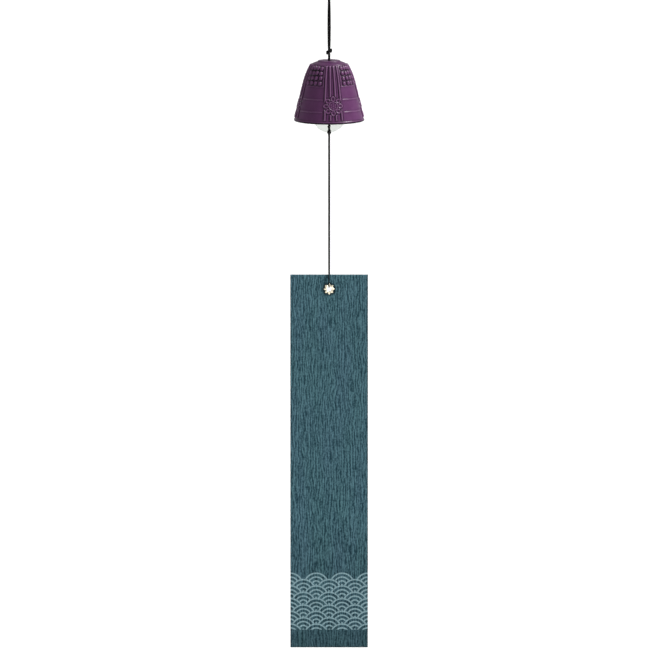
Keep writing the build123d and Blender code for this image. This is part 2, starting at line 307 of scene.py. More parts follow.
# %% [markdown]
# ## Hanging cord
# One black cord runs up from the knot, over the hook and back down. In the photograph the pair shows edge
# on at the top and at the knot and side by side between them, so the two strands lie half a turn round
# each other. The cord bends at the throat of the eye, where it changes from one body to the next.

# %% Lay the hanging cord
cord_diameter = 1.3 * mm
cord_radius = cord_diameter / 2
cord_step = 0.2 * mm
cord_braid = braid(1.5 * mm)
hanging_route = [
    (-0.0003, -0.0006, -0.0616),
    (-0.00052, -0.00045, -0.0560),
    (-0.00062, -0.0003, -0.0490),
    (-0.00066, 0, -0.0420),
    (-0.00062, 0.0003, -0.0350),
    (-0.00052, 0.00045, -0.0280),
    (-0.00025, 0.0007, -0.0200),
    (0, 0.00365, -0.00485),
    (0, 0.00365, -0.0015),
    (0, 0.0015, 0.00065),
    (0, -0.0015, 0.00065),
    (0, -0.00365, -0.0015),
    (0, -0.00365, -0.00485),
    (0.00025, -0.0007, -0.0200),
    (0.00052, -0.00045, -0.0280),
    (0.00062, -0.0003, -0.0350),
    (0.00066, 0, -0.0420),
    (0.00062, 0.0003, -0.0490),
    (0.00052, 0.00045, -0.0560),
    (0.0003, 0.0006, -0.0616),
]
hanging_line = cord_line(hanging_route, cord_step)
hanging_cord = cord_skin("hanging_cord", hanging_line, cord_radius, cord_braid)
put(hanging_cord, black_braid)
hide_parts("hanging_eye", "hanging_strand_front", "hanging_strand_back")
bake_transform(hanging_cord)
print("hanging cord", round(line_length(hanging_line), 4), "m")

# %% [markdown]
# ## Knots
# A knot pulled tight shows as a lump of wraps with a cut end on each side. Each one is a cord of its own
# here: a tail, two or three turns round the strands, and the other tail. The turns are a coil, so a
# formula gives their points.

# %% Wrap a cord into a knot
wrap_steps = 12
wrap_end_share = 0.82
wrap_lean_share = 0.35
tail_forward = Vector((0, -0.35, 0))
tail_aside = Vector((0.75, 0, 0.55))
knot_sides = 14


def tied_knot(name, centre, radius, reach, rise, turns, tail, relief, depth_share=1.0):
    """Wraps of a cord round a point, with a tail at the lower left and one at the upper right.

    The wraps reach that far sideways, and a share of it in depth.
    """
    count = int(turns * wrap_steps)
    orbit = reach - radius
    wraps = []
    for k in range(count + 1):
        share = k / count
        turn = math.pi + 2 * math.pi * turns * share
        swell = orbit * (wrap_end_share + (1 - wrap_end_share) * math.sin(math.pi * share))
        sideways, inwards = swell * math.cos(turn), depth_share * swell * math.sin(turn)
        height = rise * (share - 0.5 + wrap_lean_share * math.cos(turn))
        wraps.append(centre + Vector((sideways, inwards, height)))
    low_tail = wraps[0] + (tail_forward - tail_aside) * tail
    high_tail = wraps[-1] + (tail_forward + tail_aside) * tail
    line = cord_line([low_tail, *wraps, high_tail], radius / 4)
    return cord_skin(name, line, radius, relief, knot_sides)


print("a knot has", wrap_steps, "points a turn")

# %% Tie the knots above and under the crown
upper_knot = tied_knot(
    "upper_knot_wraps",
    centre=Vector((0, 0, -0.0620)),
    radius=cord_radius,
    reach=2.55 * mm,
    rise=2.0 * mm,
    turns=2.5,
    tail=0.5 * mm,
    relief=cord_braid,
)
put(upper_knot, black_braid)
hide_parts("upper_knot")
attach(upper_knot, "neck")

stop_knot = tied_knot(
    "stop_knot_wraps",
    centre=Vector((0, 0, -0.0747)),
    radius=cord_radius,
    reach=2.7 * mm,
    rise=2.8 * mm,
    turns=3.5,
    tail=1.0 * mm,
    relief=cord_braid,
)
put(stop_knot, black_braid)
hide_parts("stop_knot")
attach(stop_knot, "stop")
print("knots", upper_knot.name, stop_knot.name)

# %% [markdown]
# ## Cord through the crown
# Between the two knots the pair runs straight down through the hole in the bell's crown, one strand
# before the other. The stretch is a few millimetres long, and goes with the hanging cord.

# %% Lay the neck strands
neck_offset = (0.00025, 0.00065)
for side, node in ((-1, "neck_strand_front"), (1, "neck_strand_back")):
    neck_place = [side * part for part in neck_offset]
    neck_route = [(*neck_place, -0.0628), (*neck_place, -0.0680), (*neck_place, -0.0738)]
    strand = cord_skin(f"{node}_braid", cord_line(neck_route, cord_step), cord_radius, cord_braid)
    put(strand, black_braid)
    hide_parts(node)
    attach(strand, "neck")

# %% [markdown]
# ## Clapper loop
# Under the stop knot the same cord goes on as a long loop, and its bend passes through the top hole of
# the disc. It hangs taut, so a point on each leg keeps the legs straight down to the disc's edge.

# %% Lay the clapper loop
loop_route = [
    (0, -0.0007, -0.0760),
    (0, -0.0018, -0.0946),
    (0, -0.0022, -0.1024),
    (0, 0.0022, -0.1024),
    (0, 0.0018, -0.0946),
    (0, 0.0007, -0.0760),
]
loop_line = cord_line(loop_route, cord_step)
clapper_loop = cord_skin("clapper_loop_braid", loop_line, cord_radius, cord_braid)
put(clapper_loop, black_braid)
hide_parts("clapper_loop")
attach(clapper_loop, "clapper")
print("clapper loop", round(line_length(loop_line), 4), "m")

# %% [markdown]
# ## Strip cord
# A thin cord, tied into a ring, hangs from the disc by a hitch. From there the pair runs down side by
# side, and one strand enters the eyelet from the front of the paper and comes back up behind it. When the
# strip turns, the whole pair twists; this cord is made as one piece and is not put on a body.

# %% Lay the strip cord
thin_diameter = 0.76 * mm
thin_radius = thin_diameter / 2
thin_step = 0.16 * mm
thin_sides = 12
thin_twist = twist(1.1 * mm)
strip_cord_route = [
    (-0.00038, 0, -0.1258),
    (-0.00038, 0, -0.1331),
    (-0.00038, -0.0002, -0.1800),
    (-0.00036, -0.0007, -0.2250),
    (-0.0003, -0.00125, -0.2412),
    (0, -0.00155, -0.24545),
    (0, 0.00155, -0.24545),
    (0.0003, 0.00125, -0.2412),
    (0.00036, 0.0007, -0.2250),
    (0.00038, 0.0002, -0.1800),
    (0.00038, 0, -0.1331),
    (0.00038, 0, -0.1258),
]
strip_cord_line = cord_line(strip_cord_route, thin_step)
strip_cord = cord_skin("strip_cord_twist", strip_cord_line, thin_radius, thin_twist, thin_sides)
put(strip_cord, dark_twist)
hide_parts("strip_strand_front", "strip_strand_back", "eyelet_loop")
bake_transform(strip_cord)
print("strip cord", round(line_length(strip_cord_line), 4), "m")

# %% [markdown]
# ## Hitch
# The hitch holds the thin cord on the disc. Its two strands go up before the disc, through the lower hole
# and down behind it, and their bight lies round the pair in front. It turns back on itself so tightly that
# it has many points. Two short wraps before the disc make the lumps where the strands cross, and a small
# knot under the disc closes the ring. The knot is a body of its own, because the strip's cord sways on it.

# %% Lay the hitch through the disc
hitch_step = 0.12 * mm
hitch_route = [
    (-0.00042, -0.0002, -0.1259),
    (-0.0004, -0.0016, -0.1243),
    (-0.0004, -0.00165, -0.1215),
    (-0.0004, -0.00165, -0.1188),
    (-0.0004, 0.00165, -0.1188),
    (-0.0005, 0.00165, -0.1235),
    (-0.0009, 0.0012, -0.1254),
    (-0.0012, -0.0010, -0.1252),
    (-0.0010, -0.0021, -0.1240),
    (0, -0.0026, -0.1233),
    (0.0010, -0.0021, -0.1240),
    (0.0012, -0.0010, -0.1252),
    (0.0009, 0.0012, -0.1254),
    (0.0005, 0.00165, -0.1235),
    (0.0004, 0.00165, -0.1188),
    (0.0004, -0.00165, -0.1188),
    (0.0004, -0.00165, -0.1215),
    (0.0004, -0.0016, -0.1243),
    (0.00042, -0.0002, -0.1259),
]
hitch_line = cord_line(hitch_route, hitch_step)
disc_hitch = cord_skin("disc_hitch_twist", hitch_line, thin_radius, thin_twist, thin_sides)
put(disc_hitch, dark_twist)
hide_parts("disc_hitch")
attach(disc_hitch, "clapper")
print("hitch", len(hitch_route), "points")

# %% Tie the wraps and the knot of the hitch
wrap_places = (("hitch_top_wraps", -0.1198, 1.35 * mm), ("hitch_foot_wraps", -0.1234, 1.5 * mm))
for name, height, reach in wrap_places:
    wraps = tied_knot(
        name,
        centre=Vector((0, -0.0018, height)),
        radius=thin_radius,
        reach=reach,
        rise=0.9 * mm,
        turns=1.5,
        tail=0.2 * mm,
        relief=thin_twist,
        depth_share=0.6,
    )
    put(wraps, dark_twist)
    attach(wraps, "clapper")

hitch_knot = tied_knot(
    "hitch_knot_wraps",
    centre=Vector((0, 0, -0.12595)),
    radius=thin_radius,
    reach=1.05 * mm,
    rise=0.8 * mm,
    turns=2.5,
    tail=0.05 * mm,
    relief=thin_twist,
)
put(hitch_knot, dark_twist)
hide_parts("hitch_knot")
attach(hitch_knot, "hitch")

# %% [markdown]
# ## Bell
# The bell is cast in a sand mould, so its ribs, studs and flowers have soft edges and run into the wall
# with a small round. A fine skin of revolution gives that: each of its points is pushed out along the
# wall's normal by the height of the relief at its turn and height. The relief is one function, and each
# ornament adds to it.

# %% Draw the bell's section
rim_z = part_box("bell")[0].z
rim_radius = 27.1
bell_height = 46.7
flank_taper = math.radians(14.1)
flank_height = 30.0
shoulder_height = 42.6
shoulder_bend = 53.0
shoulder_top = 44.2
shoulder_round = 4.23
wall = 2.5
bend_radius = rim_radius - flank_height * math.tan(flank_taper) - shoulder_bend * math.cos(flank_taper)
bend_height = flank_height - shoulder_bend * math.sin(flank_taper)
round_tilt = math.asin((shoulder_height - bend_height) / shoulder_bend)
round_radius = bend_radius + (shoulder_bend - shoulder_round) * math.cos(round_tilt)
round_height = bend_height + (shoulder_bend - shoulder_round) * math.sin(round_tilt)


def flank_radius(height, inset=0.0):
    """Radius of the wall in millimetres at a height above the rim, that far inside its surface."""
    if height <= flank_height - inset * math.sin(flank_taper):
        return rim_radius - height * math.tan(flank_taper) - inset / math.cos(flank_taper)
    if height <= shoulder_height:
        return bend_radius + math.sqrt((shoulder_bend - inset) ** 2 - (height - bend_height) ** 2)
    return round_radius + math.sqrt((shoulder_round - inset) ** 2 - (height - round_height) ** 2)


def flank_slope(height):
    """Tilt of the wall's outward normal, upwards."""
    if height <= flank_height:
        return flank_taper
    if height <= shoulder_height:
        return math.asin((height - bend_height) / shoulder_bend)
    return math.asin((height - round_height) / shoulder_round)


print("radius at the rim and the shoulder", rim_radius, round(flank_radius(shoulder_height), 2))

# %% Prepare steps, ridges and turns
front_turn = math.radians(7.4)
front_band = front_turn - math.pi / 2
band_pitch = math.pi / 2


def soft_step(value, low, high):
    """0 below low, 1 above high, smooth between them."""
    t = np.clip((value - low) / (high - low), 0, 1)
    return t * t * (3 - 2 * t)


def between(height, foot, full_from, full_to, top):
    """1 from one height to another, and less towards a foot and a top beyond them."""
    return soft_step(height, foot, full_from) * soft_step(-height, -top, -full_to)


def half_round(share):
    """Height of a half round, from 0 to 1, at a share of its radius."""
    return np.sqrt(np.clip(1 - share**2, 0, 1))


def ridge(distance, width):
    """Height of a rounded ridge, from 0 to 1, at a distance from its middle."""
    return half_round(2 * distance / width) * soft_step(-np.abs(distance), -width / 2, -width / 3)


def from_band(turn):
    """Turn from the middle of the nearest band."""
    return (turn - front_band + band_pitch / 2) % band_pitch - band_pitch / 2


def from_panel(turn):
    """Turn from the middle of the nearest panel."""
    return from_band(turn + band_pitch / 2)


print("bands", round(2 * math.pi / band_pitch), "turned by", round(math.degrees(front_turn), 1), "degrees")

# %% Describe the ribs
rib_count = 4
rib_pitch = math.radians(10)
rib_width = 1.6
rib_rise = 0.75
upper_ribs = (16.0, 17.0, 43.5, 44.0)
lower_ribs = (2.4, 3.2, 10.7, 11.7)


def ribs(turn, height, radius):
    """Thin ribs down each band, from the shoulder to the flower and from the flower to the rim."""
    total = np.zeros_like(turn)
    for rib in range(rib_count):
        offset = (rib - (rib_count - 1) / 2) * rib_pitch
        total = np.maximum(total, ridge((turn - offset) * radius, rib_width))
    return rib_rise * total * np.maximum(between(height, *upper_ribs), between(height, *lower_ribs))


print("ribs", rib_count, "to a band")

# %% Describe the lines of the panels
belt_reach = math.radians(25.5)
belt_fade = math.radians(1)
belt_heights = (9.1, 18.5, 28.3)
belt_width = 1.0
belt_rise = 0.18
side_turn = math.radians(24.6)
side_width = 0.9
side_rise = 0.35
side_span = (28.0, 28.5, 43.5, 44.0)


def panel_belts(across, height):
    """Raised lines across a panel: one under the studs, and one along each edge of the belt."""
    inside = soft_step(-np.abs(across), -belt_reach, belt_fade - belt_reach)
    total = np.maximum.reduce([ridge(height - belt, belt_width) for belt in belt_heights])
    return belt_rise * total * inside


def panel_sides(across, height, radius):
    """A raised line down each side of the studs."""
    line = ridge((np.abs(across) - side_turn) * radius, side_width)
    return side_rise * line * between(height, *side_span)


print("lines across a panel", len(belt_heights))

# %% Describe the studs
stud_rows = 4
stud_columns = 4
stud_foot = side_span[0] + 0.9
stud_row_pitch = 3.7
stud_column_pitch = math.radians(10.8)
stud_half_width = 1.6
stud_half_height = 1.85
stud_foot_share = 0.7
stud_draw = np.random.default_rng(3)
stud_shift = stud_draw.uniform(-0.25, 0.25, (stud_rows, stud_columns, 2))
stud_rise = stud_draw.uniform(1.0, 1.4, (stud_rows, stud_columns))


def studs(across, height, radius):
    """Rows of studs, each a little out of line and of its own height, as in a hand-made mould."""
    total = np.zeros_like(across)
    for row in range(stud_rows):
        for column in range(stud_columns):
            aside, up = stud_shift[row, column]
            turn = (column - (stud_columns - 1) / 2) * stud_column_pitch
            sideways = (across - turn) * radius - aside
            upwards = height - stud_foot - (row + 0.5) * stud_row_pitch - up
            away = np.hypot(sideways / stud_half_width, upwards / stud_half_height)
            dome = half_round(away) * soft_step(-away, -1, -stud_foot_share)
            total = np.maximum(total, stud_rise[row, column] * dome)
    return total


print("studs", stud_rows * stud_columns, "to a panel, up to", round(float(stud_rise.max()), 2), "mm high")

# %% Describe the flower
flower_height = 13.8
flower_stretch = 1.03
petal_count = 8
petal_orbit = 5.7
petal_half_length = 2.2
petal_half_width = 2.1
petal_point_share = 0.6
petal_floor_share = 0.1
petal_edge_share = 0.76
petal_rise = 0.95
seed_count = 6
seed_orbit = 1.9
seed_radius = 0.75
seed_rise = 0.2
pod_radius = 3.9
pod_round = 0.3
pod_rise = 0.5
pod_rim_radius = 3.4
pod_rim_width = 0.9
pod_rim_rise = 0.4


def petals(away, around):
    """Pointed, dished petals, at a distance and a turn from the flower's middle."""
    from_middle = (around / (2 * math.pi) * petal_count + 0.5) % 1 - 0.5
    out_of_line = np.abs(from_middle) * 2 * math.pi / petal_count * away
    along = (away - petal_orbit) / petal_half_length
    narrowing = 1 + petal_point_share * np.clip(along, 0, 1) ** 2
    edge = np.hypot(out_of_line * narrowing / petal_half_width, along)
    dish = petal_floor_share + (1 - petal_floor_share) * np.clip(edge, 0, 1) ** 2
    return petal_rise * dish * soft_step(-edge, -1, -petal_edge_share)


def seed_pod(away, around):
    """A flat pod with a rim, and a ring of seeds round the one in its middle."""
    seed_turn = (around / (2 * math.pi) * seed_count % 1 - 0.5) * 2 * math.pi / seed_count
    from_ring = np.hypot(away * np.cos(seed_turn) - seed_orbit, away * np.sin(seed_turn))
    seeds = seed_rise * half_round(np.minimum(from_ring, away) / seed_radius)
    rim = pod_rim_rise * ridge(away - pod_rim_radius, pod_rim_width)
    return (pod_rise + rim + seeds) * soft_step(-away, -pod_radius, pod_round - pod_radius)


def lotus(turn, height, radius):
    """A flower in the middle of a band, on the belt."""
    sideways, upwards = turn * radius, (height - flower_height) * flower_stretch
    away = np.hypot(sideways, upwards)
    around = np.arctan2(upwards, sideways)
    return np.maximum(petals(away, around), seed_pod(away, around))


print("petals", petal_count, "seeds", seed_count + 1)

# %% Add up the relief
flower_clear = (6.8, 7.4)
border_height = 43.8
border_width = 0.7
border_rise = 0.3
rim_band_full = 1.6
rim_band_top = 2.0
rim_band_rise = 0.28


def relief_height(turn, height, radius):
    """Rise of the casting's relief in millimetres."""
    folded, across = from_band(turn), from_panel(turn)
    from_flower = np.hypot(folded * radius, height - flower_height)
    bare = soft_step(from_flower, *flower_clear)
    band = np.maximum(ribs(folded, height, radius) * bare, lotus(folded, height, radius))
    lines = np.maximum(panel_belts(across, height), panel_sides(across, height, radius))
    panel = np.maximum(lines, studs(across, height, radius))
    border = border_rise * ridge(height - border_height, border_width)
    rim_band = rim_band_rise * soft_step(-height, -rim_band_top, -rim_band_full)
    return np.maximum.reduce([band, panel, border + 0 * turn, rim_band + 0 * turn])


front_pod = relief_height(np.array(front_band), flower_height, flank_radius(flower_height))
print("relief in the middle of the front flower", round(float(front_pod), 2), "mm")

# %% Work out the relief over the flank
turns = 720
flank_steps = 190
flank_foot = 0.5
turn_row = np.arange(turns) * 2 * math.pi / turns
flank_heights = np.linspace(flank_foot, shoulder_top, flank_steps + 1)
relief = np.array([relief_height(turn_row, height, flank_radius(height)) for height in flank_heights])


def spread(grid, reach):
    """Mean of a grid over its neighbours, round the bell and up and down it."""
    shifts = range(-reach, reach + 1)
    grid = np.mean([np.roll(grid, shift, axis=1) for shift in shifts], axis=0)
    padded = np.pad(grid, ((reach, reach), (0, 0)), mode="edge")
    return np.mean([padded[reach + shift : reach + shift + len(grid)] for shift in shifts], axis=0)


print("relief up to", round(float(relief.max()), 2), "mm")

# %% Find the edges and the hollows of the relief
neighbours = 5
hollow_limit = -0.35
edge_limit = 0.25
# Painted shade along the rim: the lowest rows of the flank get a lower edge value, so their lacquer is
# darker.
rim_painted_shade_depth = 0.3
rim_painted_shade_span = (1.0, 1.5)
stud_reach = math.radians(24)
stud_rub_and_highlight_share = 0.4
stud_pool_and_shade_share = 0.8
rim_painted_shade = rim_painted_shade_depth * soft_step(-flank_heights, -rim_painted_shade_span[1], -rim_painted_shade_span[0])
# Hollows get a lower edge value, for painted shade and pooled lacquer, and raised points a higher one, for
# painted highlight and rubbed lacquer; on the studs both are scaled down.
edges = np.clip(relief - spread(relief, neighbours) - rim_painted_shade[:, None], hollow_limit, edge_limit)
on_studs = np.outer(flank_heights > side_span[0], np.abs(from_panel(turn_row)) < stud_reach)
edges = np.where(on_studs, np.where(edges > 0, stud_rub_and_highlight_share, stud_pool_and_shade_share) * edges, edges)
print("edges from", round(float(edges.min()), 2), "to", round(float(edges.max()), 2), "mm")

# %% Spin the section into a skin
rows, row_edges = [], []


def add_row(radius, height, edge=0.0):
    """One ring of points. Its radius, height and edge may change round the bell."""
    level = np.full(turns, 1.0) * height
    rows.append(np.column_stack((radius * np.cos(turn_row), radius * np.sin(turn_row), level)))
    row_edges.append(np.full(turns, 1.0) * edge)


inner_heights = (40.0, 36.0, 30.0, 24.0, 16.0, 8.0, 0.6)
lip_round = 0.4
# The lip's outer rows get a negative edge value: painted shade on the rim's underside.
lip_edge = -0.3
lip_corner_share = 0.3
inner_lip_share = 0.375
for height in inner_heights:
    add_row(flank_radius(height, wall), height)
add_row(flank_radius(0, wall) + inner_lip_share * lip_round, lip_corner_share * lip_round)
add_row(flank_radius(0, wall) + lip_round, 0)
add_row(flank_radius(0) - lip_round, 0, lip_edge)
add_row(flank_radius(0) - lip_corner_share * lip_round, lip_corner_share * lip_round, lip_edge)
for height, rise, edge in zip(flank_heights, relief, edges):
    slope = flank_slope(height)
    add_row(flank_radius(height) + rise * math.cos(slope), height + rise * math.sin(slope), edge)
print("rows of the wall, the lip and the flank", len(rows), "of", turns, "points")

# %% Add the crown and the ceiling under it
crown_radius = 12.9
top_radius = 8.6
hole_radius = 2.0
ceiling_height = 43.3
# The third number of each row is its edge value for the lacquer: below zero at the foot of a step, for
# painted shade, above zero on its upper edge and round the cord hole, for painted highlight, and a little
# below zero on the crown's slope and top, which darkens them.
crown_step = [
    (crown_radius + 0.04, shoulder_top + 0.08, -0.3),
    (crown_radius, shoulder_top + 0.24, -0.1),
    (crown_radius - 0.15, shoulder_top + 0.36, 0.1),
]
crown_slope = [(12.3, 44.74, -0.02), (10.8, 45.34, -0.04), (9.2, 45.96, -0.04)]
top_step = [
    (top_radius + 0.2, bell_height - 0.58, -0.14),
    (top_radius + 0.06, bell_height - 0.44, -0.08),
    (top_radius, bell_height - 0.2, 0.08),
    (top_radius - 0.15, bell_height - 0.05, 0.1),
]
flat_top = [(top_radius - 0.5, bell_height, -0.02), (5.0, bell_height, -0.04), (2.5, bell_height, -0.04)]
cord_hole = [
    (hole_radius + 0.15, bell_height - 0.1, 0.08),
    (hole_radius, bell_height - 0.3, 0),
    (hole_radius, ceiling_height + 0.6, 0),
    (hole_radius + 0.1, ceiling_height + 0.12, 0),
]
flat_ceiling = [(hole_radius + 0.4, ceiling_height, 0), (6.0, ceiling_height, 0), (9.0, ceiling_height, 0)]
ceiling_round = [(10.3, 43.05, 0), (11.3, 42.5, 0), (12.0, 41.9, 0), (12.6, 41.1, 0)]
for stretch in (crown_step, crown_slope, top_step, flat_top, cord_hole, flat_ceiling, ceiling_round):
    for radius, height, edge in stretch:
        add_row(radius, height, edge)
print("rows round the bell", len(rows))

# %% Join the rows and give the bell its place
def spun_mesh(name, rows):
    """A closed skin from rows of points: each row is joined to the next, and the last to the first."""
    count = len(rows[0])
    index = np.arange(len(rows) * count).reshape(len(rows), count)
    after = np.roll(index, -1, axis=1)
    above, above_after = np.roll(index, -1, axis=0), np.roll(after, -1, axis=0)
    quads = np.stack((index, after, above_after, above), axis=-1).reshape(-1, 4)
    mesh = bpy.data.meshes.new(name)
    mesh.from_pydata(np.concatenate(rows).tolist(), [], quads.tolist())
    mesh.shade_smooth()
    return mesh


bell_mesh = spun_mesh("cast_bell", rows)
edge_values = bell_mesh.attributes.new("edge", "FLOAT", "POINT")
edge_values.data.foreach_set("value", np.concatenate(row_edges).astype(np.float32))
bell_mesh.transform(Matrix.Translation((0, 0, rim_z)) @ Matrix.Scale(mm, 4))
bell = link("cast_bell", bell_mesh)
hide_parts("bell")
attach(bell, "bell")

# %% [markdown]
# ## Purple lacquer
# The iron is coated with a satin purple lacquer. Its colour is darker in the hollows beside the relief, as
# painted shade and as lacquer pooled there, and paler on the raised edges, as painted highlight and as
# lacquer rubbed thin, though less on the crowded studs. How far each point stands out from its
# neighbours, stored on the mesh, drives that. Fine noise gives the grain of the sand mould and a lightly
# uneven gloss.

# %% Make the lacquer
lacquer, shader, nodes, links = new_finish("purple_lacquer")
place = nodes.new("ShaderNodeTexCoord")
edge_value = nodes.new("ShaderNodeAttribute")
edge_value.attribute_name = "edge"
edge_tone = nodes.new("ShaderNodeMapRange")
edge_tone.inputs["From Min"].default_value = hollow_limit
edge_tone.inputs["From Max"].default_value = edge_limit
edge_tone.inputs["To Min"].default_value = -0.40
edge_tone.inputs["To Max"].default_value = 0.85
cloud = nodes.new("ShaderNodeTexNoise")
cloud.inputs["Scale"].default_value = 120
cloud.inputs["Detail"].default_value = 5
tone = nodes.new("ShaderNodeMath")
tone.operation = "MULTIPLY_ADD"
tone.inputs[1].default_value = 0.25
# The ramp's dark end is painted shade and pooled lacquer in the hollows, its pale end painted highlight and
# rubbed lacquer on the edges, and its middle the plain coat.
coat_colour = nodes.new("ShaderNodeValToRGB")
coat_colour.color_ramp.elements[0].position = 0.0
coat_colour.color_ramp.elements[0].color = (0.012, 0.002, 0.013, 1)
coat_colour.color_ramp.elements[1].position = 1.0
coat_colour.color_ramp.elements[1].color = (0.185, 0.082, 0.178, 1)
plain_coat = coat_colour.color_ramp.elements.new(0.45)
plain_coat.color = (0.107, 0.030, 0.105, 1)
grain = nodes.new("ShaderNodeTexNoise")
grain.inputs["Scale"].default_value = 2600
grain.inputs["Detail"].default_value = 4
gloss = nodes.new("ShaderNodeMapRange")
gloss.inputs["To Min"].default_value = 0.28
gloss.inputs["To Max"].default_value = 0.42
bump = nodes.new("ShaderNodeBump")
bump.inputs["Strength"].default_value = 0.25
bump.inputs["Distance"].default_value = 0.06 * mm
links.new(place.outputs["Object"], cloud.inputs["Vector"])
links.new(place.outputs["Object"], grain.inputs["Vector"])
links.new(edge_value.outputs["Fac"], edge_tone.inputs["Value"])
links.new(cloud.outputs["Fac"], tone.inputs[0])
links.new(edge_tone.outputs["Result"], tone.inputs[2])
links.new(tone.outputs["Value"], coat_colour.inputs["Fac"])
links.new(coat_colour.outputs["Color"], shader.inputs["Base Color"])
links.new(cloud.outputs["Fac"], gloss.inputs["Value"])
links.new(gloss.outputs["Result"], shader.inputs["Roughness"])
links.new(grain.outputs["Fac"], bump.inputs["Height"])
links.new(bump.outputs["Normal"], shader.inputs["Normal"])
shader.inputs["Specular IOR Level"].default_value = 0.22
put(bell, lacquer)
print("lacquer nodes", len(nodes))

# %% [markdown]
# ## Clapper disc
# The disc is a thin round plate of clear plastic with a faint frost, so it looks almost white against the
# paper behind it. It is so thin that it hardly bends the light: a low index of refraction keeps its edge
# from going dark. Its solid already has the right shape, so it stays.

# %% Finish the disc
acrylic, shader, nodes, links = new_finish("frosted_acrylic")
place = nodes.new("ShaderNodeTexCoord")
frost = nodes.new("ShaderNodeTexNoise")
frost.inputs["Scale"].default_value = 300
frost.inputs["Detail"].default_value = 2
frost_rough = nodes.new("ShaderNodeMapRange")
frost_rough.inputs["To Min"].default_value = 0.22
frost_rough.inputs["To Max"].default_value = 0.38
links.new(place.outputs["Object"], frost.inputs["Vector"])
links.new(frost.outputs["Fac"], frost_rough.inputs["Value"])
links.new(frost_rough.outputs["Result"], shader.inputs["Roughness"])
shader.inputs["Base Color"].default_value = (0.71, 0.735, 0.705, 1)
shader.inputs["Transmission Weight"].default_value = 0.95
shader.inputs["IOR"].default_value = 1.05
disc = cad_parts["clapper_disc"]
disc.data.materials.clear()
disc.data.materials.append(acrylic)
bevel = disc.modifiers.new("soft_edge", "BEVEL")
bevel.width = 0.15 * mm
bevel.segments = 2
bevel.limit_method = "ANGLE"

# %% [markdown]
# ## Paper strip
# The strip is crepe paper: stiff enough to hang flat, with a fine upright crinkle and a slight bow. The
# crinkle is real geometry: folds at an even spacing, pushed aside by smooth random sways, so that they
# lean, meet and part again. How high each point stands is stored on the mesh, for the dye. The hole for
# the eyelet is cut with a boolean.

# %% Crinkle the sheet
strip_low, strip_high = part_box("strip")
strip_width = strip_high.x - strip_low.x
strip_length = strip_high.z - strip_low.z
sheet_thickness = 0.3 * mm
columns, sheet_rows = 260, 220
draw = np.random.default_rng(7)


def random_folds(across, down, width, length):
    """Smooth random heights from 0 to 1, with folds of that width and length in millimetres."""
    i, j = (across - across.min()) / width, down / length
    heights = draw.random((int(j.max()) + 2, int(i.max()) + 2))
    i0, j0 = i.astype(int), j.astype(int)
    right, below = soft_step(i - i0, 0, 1), soft_step(j - j0, 0, 1)
    upper = heights[j0, i0] * (1 - right) + heights[j0, i0 + 1] * right
    lower = heights[j0 + 1, i0] * (1 - right) + heights[j0 + 1, i0 + 1] * right
    return upper * (1 - below) + lower * below


x = np.linspace(strip_low.x, strip_high.x, columns + 1)
z = np.linspace(strip_high.z, strip_low.z, sheet_rows + 1)
across, down = np.meshgrid(x / mm, (strip_high.z - z) / mm)
crinkle_pitch = 2.1
long_sway = 1.4 * random_folds(across, down, 5.0, 12.0)
short_sway = 0.7 * random_folds(across, down, 2.0, 5.0)
folds = np.sin(2 * math.pi * (across / crinkle_pitch + long_sway + short_sway))
unevenness = random_folds(across, down, 0.8, 6.0) - 0.5
crinkle = 0.5 + 0.3 * folds + 0.5 * unevenness
print("crinkle from", round(float(crinkle.min()), 2), "to", round(float(crinkle.max()), 2))

# %% Make the sheet
crinkle_depth = 0.19
bow_depth = 1.2
bow_start = 60
ripple_depth = 0.25
ripple_start = 25
ripple_run = 40
bow = bow_depth * soft_step(down, bow_start, strip_length / mm)
ripple = ripple_depth * np.sin(down / ripple_run) * soft_step(down, ripple_start, bow_start)
depth = crinkle_depth * (0.5 - crinkle) + bow + ripple
sheet_points = np.stack((across * mm, depth * mm, strip_high.z - down * mm), axis=-1).reshape(-1, 3)
cell = np.arange((sheet_rows + 1) * (columns + 1)).reshape(sheet_rows + 1, columns + 1)
quads = np.stack((cell[:-1, :-1], cell[1:, :-1], cell[1:, 1:], cell[:-1, 1:]), axis=-1).reshape(-1, 4)
strip_mesh = bpy.data.meshes.new("paper_strip")
strip_mesh.from_pydata(sheet_points.tolist(), [], quads.tolist())
strip_mesh.shade_smooth()
fold_values = strip_mesh.attributes.new("fold", "FLOAT", "POINT")
fold_values.data.foreach_set("value", crinkle.ravel().astype(np.float32))
strip = link("paper_strip", strip_mesh)
print("strip", round(strip_width, 4), "by", round(strip_length, 4), "m,", len(quads), "cells")

# %% Punch the eyelet's hole
eyelet_drop = 11.3 * mm
eyelet_centre = Vector((0, 0, strip_high.z - eyelet_drop))
punch_radius = 2.2 * mm
punch_length = 6 * mm
punch_mesh = bpy.data.meshes.new("punch")
shape = bmesh.new()
bmesh.ops.create_cone(
    shape,
    cap_ends=True,
    segments=48,
    radius1=punch_radius,
    radius2=punch_radius,
    depth=punch_length,
    matrix=Matrix.Translation(eyelet_centre) @ Matrix.Rotation(math.pi / 2, 4, "X"),
)
shape.to_mesh(punch_mesh)
shape.free()
punch = link("punch", punch_mesh)
thicken = strip.modifiers.new("paper", "SOLIDIFY")
thicken.thickness = sheet_thickness
thicken.offset = 0
cut = strip.modifiers.new("hole", "BOOLEAN")
cut.operation = "DIFFERENCE"
cut.object = punch
cut.solver = "EXACT"
made = bpy.data.meshes.new_from_object(strip.evaluated_get(bpy.context.evaluated_depsgraph_get()))
strip.modifiers.clear()
strip.data = made
bpy.data.objects.remove(punch)
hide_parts("strip")
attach(strip, "strip")
print("sheet with its hole", len(made.polygons), "faces")

